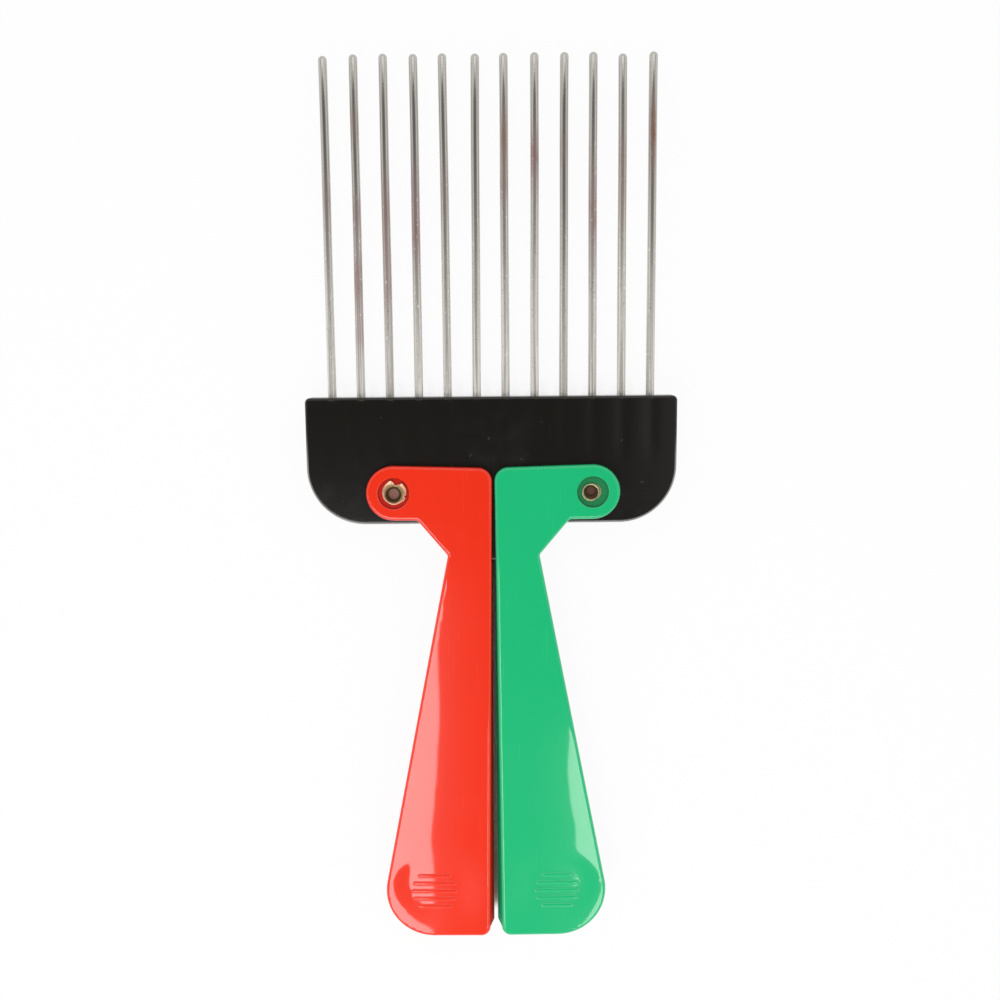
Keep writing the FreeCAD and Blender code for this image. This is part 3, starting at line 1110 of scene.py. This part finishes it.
@dataclass
class Rivet:
    """A semi-tubular rivet, whose tail is flared open at the front and may be torn."""

    node: str
    finish: TarnishedBrass
    flare: Stops
    flare_shift: Pair
    bore_shift: Pair
    throat: float
    bore_radius: float
    floor_light: float
    body: str = "comb"
    slot: str = "rivet_brass"
    sides: int = 180
    shank_radius: float = 2.0 * MM
    head_radius: float = 3.2 * MM
    head_thickness: float = 0.75 * MM
    head_rim: float = 0.4 * MM
    crown_steps: int = 10
    tail_height: float = 0.75 * MM
    tear_drop: float = 0.4 * MM
    lip: float = 0.34 * MM
    least_lip: float = 0.017 * MM
    roll: Stops = ((0.0, 0.9), (0.08, 0.35), (0.3, 0.08), (0.6, 0.0), (1.0, 0.15))
    funnel_depth: float = 0.55 * MM
    funnel_steps: int = 5
    funnel_power: float = 1.3
    funnel_shades: Pair = (0.1, 0.45)
    throat_taper: float = 0.95
    throat_shade: float = 0.7
    bore_depth: float = 1.7 * MM
    floor_corner: float = 0.102 * MM
    floor_sag: float = 0.034 * MM
    floor_shares: Pair = (0.9, 0.5)

    def flare_radius(self, angle: float) -> float:
        """Radius of the flared edge in one direction.

        Args:
            angle: direction about the axis in degrees, from +X towards the tips

        Returns:
            The radius.
        """
        (first, radius), *_ = self.flare
        turned = (angle - first) % FULL_DEGREES + first
        return blended((*self.flare, (first + FULL_DEGREES, radius)), turned)

    def section(self, angle: float, low: float, high: float) -> list[RivetPoint]:
        """Half section of the rivet in one direction.

        Args:
            angle: direction about the axis, in degrees
            low: height of the head's crown
            high: height of the tail's crown

        Returns:
            Points from the edge of the head to the floor of the bore.
        """
        outer = self.flare_radius(angle)
        inner = max(outer - self.lip, self.throat + self.least_lip)
        opened = min(1.0, max(0.0, (outer - self.throat) / (2 * self.lip)))
        crest = high - self.tear_drop * (1.0 - opened)
        return [*self.head(low), *self.tail(outer, inner, crest, high), *self.bore(inner, crest, high)]

    def head(self, low: float) -> list[RivetPoint]:
        """Half section of the domed head.

        Args:
            low: height of the head's crown

        Returns:
            Points from near the crown out to the edge and back in to the shank.
        """
        points = []
        for step in range(1, self.crown_steps + 1):
            share = step / self.crown_steps
            dome = (self.head_thickness - self.head_rim) * share * share
            points.append(RivetPoint(self.head_radius * share, low + dome))
        under = low + self.head_thickness
        return [*points, RivetPoint(self.head_radius, under), RivetPoint(self.shank_radius, under)]

    def tail(self, outer: float, inner: float, crest: float, high: float) -> list[RivetPoint]:
        """Half section of the flared tail.

        Args:
            outer: radius of the flared edge
            inner: radius of the rolled edge's inner side
            crest: height of the rolled edge
            high: height of the tail's crown

        Returns:
            Points from the shank out under the flare and over its rolled edge.
        """
        under = high - self.tail_height
        neck = max(outer - self.lip / 2, self.throat)
        points = [RivetPoint(self.shank_radius, under), RivetPoint(neck, under, self.flare_shift)]
        for share, drop in self.roll:
            radius = between(outer, inner, share)
            points.append(RivetPoint(radius, crest - self.lip * drop, self.flare_shift))
        return points

    def bore(self, inner: float, crest: float, high: float) -> list[RivetPoint]:
        """Half section of the funnel and the bore.

        Args:
            inner: radius of the rolled edge's inner side
            crest: height of the rolled edge
            high: height of the tail's crown

        Returns:
            Points down the funnel and the bore and in along its floor.
        """
        mouth = crest - self.lip * self.roll[-1][1]
        throat_height = high - self.funnel_depth
        floor = high - self.bore_depth
        edge, middle = [self.bore_radius * share for share in self.floor_shares]
        points = []
        for step in range(1, self.funnel_steps + 1):
            share = step / self.funnel_steps
            radius = between(inner, self.throat, share)
            height = between(mouth, min(throat_height, mouth), share**self.funnel_power)
            shift = tuple(between(*ends, share) for ends in zip(self.flare_shift, self.bore_shift))
            points.append(RivetPoint(radius, height, shift, between(*self.funnel_shades, share)))
        rings = (
            (self.throat * self.throat_taper, throat_height - self.lip, self.throat_shade, 0.0),
            (self.bore_radius, throat_height - 2 * self.lip, 1.0, 0.0),
            (self.bore_radius, floor + self.floor_corner, 1.0, 0.0),
            (edge, floor, 1.0, self.floor_light),
            (middle, floor - self.floor_sag, 1.0, self.floor_light),
        )
        for radius, height, depth, light in rings:
            points.append(RivetPoint(radius, height, self.bore_shift, depth, light))
        return points

    def build(self) -> bpy.types.Object:
        """Build the rivet by turning its section about the pivot.

        Returns:
            The rivet.
        """
        low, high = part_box(self.node)
        axis = Vector(((low.x + high.x) / 2, (low.y + high.y) / 2, 0.0))
        mesh = bmesh.new()
        columns = []
        marks = []
        for side in range(self.sides):
            angle = FULL_TURN * side / self.sides
            spoke = Vector((math.cos(angle), math.sin(angle), 0.0))
            column = []
            for point in self.section(math.degrees(angle), low.z, high.z):
                place = axis + spoke * point.radius + Vector((*point.shift, point.height))
                column.append(mesh.verts.new(place))
                marks.append(point)
            columns.append(column)
        last = marks[-1]
        crown = mesh.verts.new(axis + Vector((0.0, 0.0, low.z)))
        floor = mesh.verts.new(axis + Vector((*last.shift, last.height)))
        marks += [marks[0], last]
        for here, there in zip(columns, columns[1:] + columns[:1]):
            mesh.faces.new((crown, there[0], here[0]))
            mesh.faces.new((floor, here[-1], there[-1]))
            for step in range(len(here) - 1):
                mesh.faces.new((here[step], there[step], there[step + 1], here[step + 1]))
        piece = as_object(f"{self.node}_brass", mesh)
        store(piece, "depth", [mark.depth for mark in marks])
        store(piece, "floor", [mark.floor for mark in marks])
        return piece

    def dress(self, piece: bpy.types.Object) -> None:
        """Hang the rivet on the comb in its brass."""
        finish_piece(piece, self.body, self.finish.material(), self.node)


# Studio

@dataclass(frozen=True)
class SoftBox:
    """A flat light panel that faces down."""

    name: str
    centre: Triple
    size: Pair
    radiance: float

    def build(self) -> None:
        """Hang the panel."""
        lamp = bpy.data.lights.new(self.name, "AREA")
        lamp.shape = "RECTANGLE"
        lamp.size, lamp.size_y = self.size
        lamp.energy = self.radiance * math.pi * self.size[0] * self.size[1]
        panel = bpy.data.objects.new(self.name, lamp)
        panel.location = self.centre
        bpy.context.scene.collection.objects.link(panel)


@dataclass(frozen=True)
class PhotoCamera:
    """The camera above the pick, a little towards the tips and tilted back towards the handles."""

    place: Triple = (0.68 * MM, 40.44 * MM, 266.95 * MM)
    tilt: float = math.radians(8.063)
    pan: float = math.radians(0.266)
    roll: float = math.radians(0.456)
    lens: float = 39.6
    sensor: float = 36.0
    near_limit: float = 10 * MM

    def build(self) -> None:
        """Set up the camera."""
        data = bpy.data.cameras.new("photo_camera")
        data.lens = self.lens
        data.sensor_fit = "HORIZONTAL"
        data.sensor_width = self.sensor
        data.clip_start = self.near_limit
        camera = bpy.data.objects.new("photo_camera", data)
        pose = Matrix.Translation(self.place)
        for angle, axis in ((self.pan, "Y"), (self.tilt, "X"), (self.roll, "Z")):
            pose = pose @ Matrix.Rotation(-angle, MATRIX_SIZE, axis)
        camera.matrix_world = pose
        bpy.context.scene.collection.objects.link(camera)
        bpy.context.scene.camera = camera


@dataclass(frozen=True)
class Studio:
    """A white sweep under soft panels, with a darker ceiling where the camera hangs."""

    floor_size: float = 6.0
    floor_drop: float = 0.05 * MM
    floor_colour: Colour = (0.9, 0.9, 0.9)
    veil: float = 0.93
    crevice_reach: float = 11 * MM
    crevice_band: Pair = (0.2, 0.36)
    crevice_samples: int = 16
    horizon_colour: Colour = (1.0, 1.0, 1.0)
    ceiling_colour: Colour = (0.235, 0.22, 0.205)
    ceiling_band: Pair = (0.5, 0.97)
    panels: tuple[SoftBox, ...] = (
        SoftBox("left_panel", (-0.1225, -0.222, 0.41), (0.17, 0.245), 5.6),
        SoftBox("right_panel", (0.0865, -0.27, 0.41), (0.083, 0.15), 5.4),
        SoftBox("tip_panel", (0.0, 0.31, 0.41), (0.5, 0.225), 1.0),
        SoftBox("side_panel", (0.215, -0.01, 0.41), (0.24, 0.14), 0.6),
    )

    def floor_material(self) -> bpy.types.Material:
        """White paper that stays white behind the pick but keeps its shadow and its crevices.

        Returns:
            The material.
        """
        material, graph = new_graph("white_sweep")
        path = graph.add("ShaderNodeLightPath")
        rays = ("Is Camera Ray", "Is Glossy Ray", "Is Transmission Ray")
        shown_to = reduce(Value.most, [Value(graph, path.outputs[name]) for name in rays])
        openness = graph.value(
            "ShaderNodeAmbientOcclusion", "AO",
            {"samples": self.crevice_samples}, {"Distance": self.crevice_reach},
        )
        seen = shown_to * openness.step(*self.crevice_band) * self.veil
        paper = graph.value("ShaderNodeBsdfDiffuse", "BSDF", {}, {"Color": (*self.floor_colour, 1.0)})
        white = graph.value("ShaderNodeEmission", "Emission", {}, {"Strength": 1.0})
        shown = graph.value(
            "ShaderNodeMixShader", "Shader", {},
            {"Fac": seen, "Shader": paper, "Shader_001": white},
        )
        graph.add("ShaderNodeOutputMaterial", {}, {"Surface": shown})
        return material

    def build_floor(self) -> None:
        """Lay the floor."""
        mesh = bmesh.new()
        bmesh.ops.create_grid(mesh, x_segments=1, y_segments=1, size=self.floor_size / 2)
        data = bpy.data.meshes.new("white_floor")
        mesh.to_mesh(data)
        mesh.free()
        floor = bpy.data.objects.new("white_floor", data)
        floor.location.z = -self.floor_drop
        data.materials.append(self.floor_material())
        bpy.context.scene.collection.objects.link(floor)

    def build_world(self) -> None:
        """Fill the room with light, white at the horizon and darker overhead."""
        world = bpy.data.worlds.new("studio_room")
        world.use_nodes = True
        bpy.context.scene.world = world
        graph = Graph(world.node_tree)
        direction = graph.value("ShaderNodeTexCoord", "Generated")
        height = graph.value("ShaderNodeSeparateXYZ", "Z", {}, {"Vector": direction})
        colour = graph.mix(height.step(*self.ceiling_band), self.horizon_colour, self.ceiling_colour)
        shown = graph.value("ShaderNodeBackground", "Background", {}, {"Color": colour})
        graph.add("ShaderNodeOutputWorld", {}, {"Surface": shown})

    def build(self) -> None:
        """Set up the floor, the room and the panels."""
        self.build_floor()
        self.build_world()
        for panel in self.panels:
            panel.build()
        bpy.context.scene.view_settings.view_transform = "Standard"


# What differs between the two halves

RED_HANDLE = Handle(
    side=Side.LEFT,
    node="left_handle",
    body="red_handle",
    slot="red_plastic",
    finish=GlossPlastic(
        name="red_plastic",
        colour=(0.88, 0.025, 0.002),
        deep_colour=(0.82, 0.021, 0.001),
        worn_colour=(0.95, 0.2, 0.14),
        recess_shade_colour=(0.6, 0.012, 0.001),
    ),
    twist=(
        (-95 * MM, -0.0036), (-86 * MM, -0.0038), (-81 * MM, -0.0049), (-70.7 * MM, -0.0018),
        (-63 * MM, 0.0006), (-47.8 * MM, 0.0034), (-32.5 * MM, 0.0027), (-24.9 * MM, 0.005),
        (-10 * MM, 0.0),
    ),
    grip=(-15.11 * MM, -93.97 * MM),
    dish_fades=((2.5 * MM, 1.0 * MM), (7.0 * MM, 5.0 * MM)),
)

GREEN_HANDLE = Handle(
    side=Side.RIGHT,
    node="right_handle",
    body="green_handle",
    slot="green_plastic",
    finish=GlossPlastic(
        name="green_plastic",
        colour=(0.004, 0.505, 0.19),
        deep_colour=(0.003, 0.475, 0.175),
        worn_colour=(0.2, 0.68, 0.42),
        recess_shade_colour=(0.012, 0.24, 0.085),
    ),
    twist=(
        (-95 * MM, -0.005), (-82 * MM, -0.006), (-78 * MM, -0.006), (-74.5 * MM, -0.0036),
        (-70.7 * MM, -0.0015), (-63 * MM, 0.0003), (-55 * MM, -0.001), (-30 * MM, 0.002),
        (-10 * MM, 0.0),
    ),
    grip=(15.36 * MM, -93.97 * MM),
    dish_fades=((2.5 * MM, 4.2 * MM), (7.0 * MM, 5.0 * MM)),
)

TORN_RIVET = Rivet(
    node="left_rivet",
    finish=TarnishedBrass(
        name="rosy_brass",
        bright_colour=(0.78, 0.42, 0.28),
        patina_colour=(0.5, 0.28, 0.17),
        flare_shade_colour=(0.26, 0.185, 0.075),
    ),
    flare=(
        (-162, 2.88 * MM), (-144, 2.86 * MM), (-90, 2.9 * MM), (-62, 2.76 * MM),
        (-26, 3.0 * MM), (-17, 2.5 * MM), (-9, 2.9 * MM), (19, 2.98 * MM),
        (50, 3.0 * MM), (60, 2.42 * MM), (79, 1.8 * MM), (97, 2.65 * MM),
        (104, 3.08 * MM), (112, 3.12 * MM), (136, 2.94 * MM), (175, 2.9 * MM),
    ),
    flare_shift=(0.2 * MM, 0.15 * MM),
    bore_shift=(0.0, -0.24 * MM),
    throat=1.8 * MM,
    bore_radius=1.35 * MM,
    floor_light=1.0,
)

NEAT_RIVET = Rivet(
    node="right_rivet",
    finish=TarnishedBrass(
        name="green_brass",
        bright_colour=(0.46, 0.47, 0.27),
        patina_colour=(0.26, 0.25, 0.13),
        flare_shade_colour=(0.2, 0.19, 0.08),
    ),
    flare=((-170, 2.12 * MM), (-100, 2.15 * MM), (-30, 2.1 * MM), (40, 2.13 * MM), (110, 2.1 * MM)),
    flare_shift=(-0.56 * MM, -0.07 * MM),
    bore_shift=(-0.42 * MM, 0.03 * MM),
    throat=1.62 * MM,
    bore_radius=1.1 * MM,
    floor_light=0.25,
)


def main() -> None:
    """Build and dress the pick, then the studio."""
    logging.basicConfig(level=logging.INFO, format="%(name)s: %(message)s")
    for handle in (RED_HANDLE, GREEN_HANDLE):
        handle.dress(handle.build())
    row = TineRow()
    row.dress(row.build())
    base = CombBase()
    base.dress(base.build(row))
    for rivet in (TORN_RIVET, NEAT_RIVET):
        rivet.dress(rivet.build())
    Studio().build()
    PhotoCamera().build()


if __name__ == "__main__":
    main()
